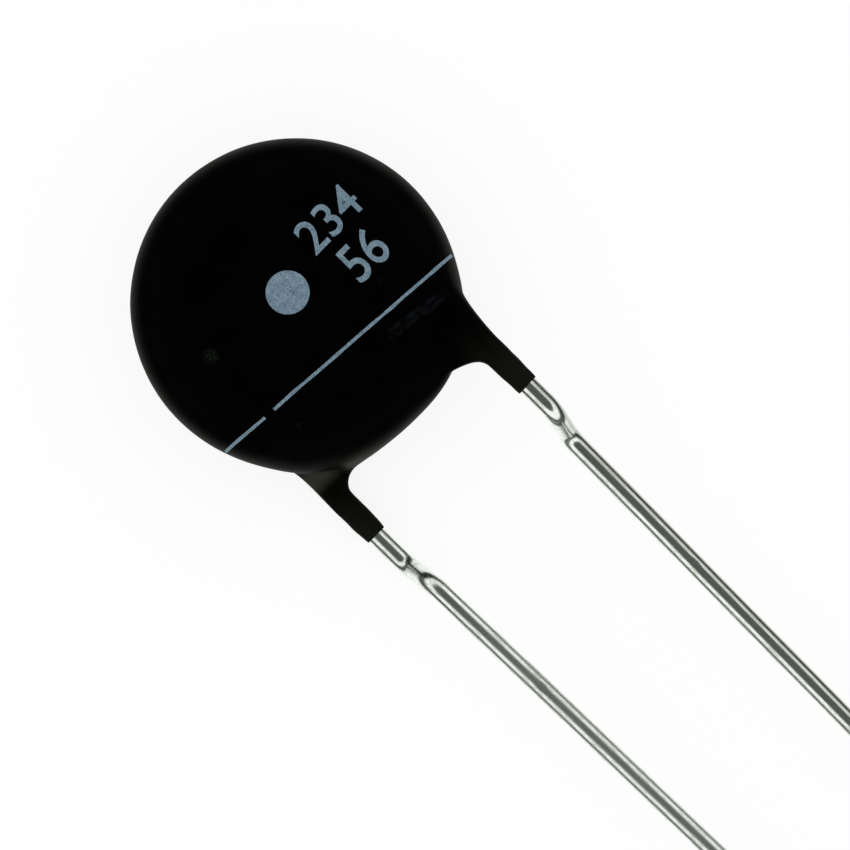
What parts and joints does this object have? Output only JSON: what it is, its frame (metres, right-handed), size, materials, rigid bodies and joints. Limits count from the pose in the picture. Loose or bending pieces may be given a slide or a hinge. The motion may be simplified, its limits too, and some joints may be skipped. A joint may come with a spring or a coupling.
{
  "type": "inrush current limiter",
  "caption": "Disc thermistor with two radial wire leads, for limiting switch-on current: coated ceramic disc, silver electrodes, soldered and kinked tinned leads.",
  "frame": {"origin": "middle of the flat land on the coating's rear face, which rests on the floor", "axes": "+Z from the rear face to the marked front face, -Y along the leads away from the disc, +X towards the front lead"},
  "size_m": [0.0116, 0.0384, 0.0046],
  "materials": {
    "coating": "black dipped silicone, satin",
    "ceramic": "sintered dark oxide ceramic, dull",
    "electrode": "fired silver, fine and dull",
    "solder": "tin solder, smooth",
    "lead_wire": "bright tinned copper"
  },
  "bodies": {
    "root": {"coating": "coating", "thermistor_disc": "ceramic", "front_electrode": "electrode", "rear_electrode": "electrode", "front_solder": "solder", "rear_solder": "solder", "front_lead": "lead_wire", "rear_lead": "lead_wire"}
  },
  "joints": []
}
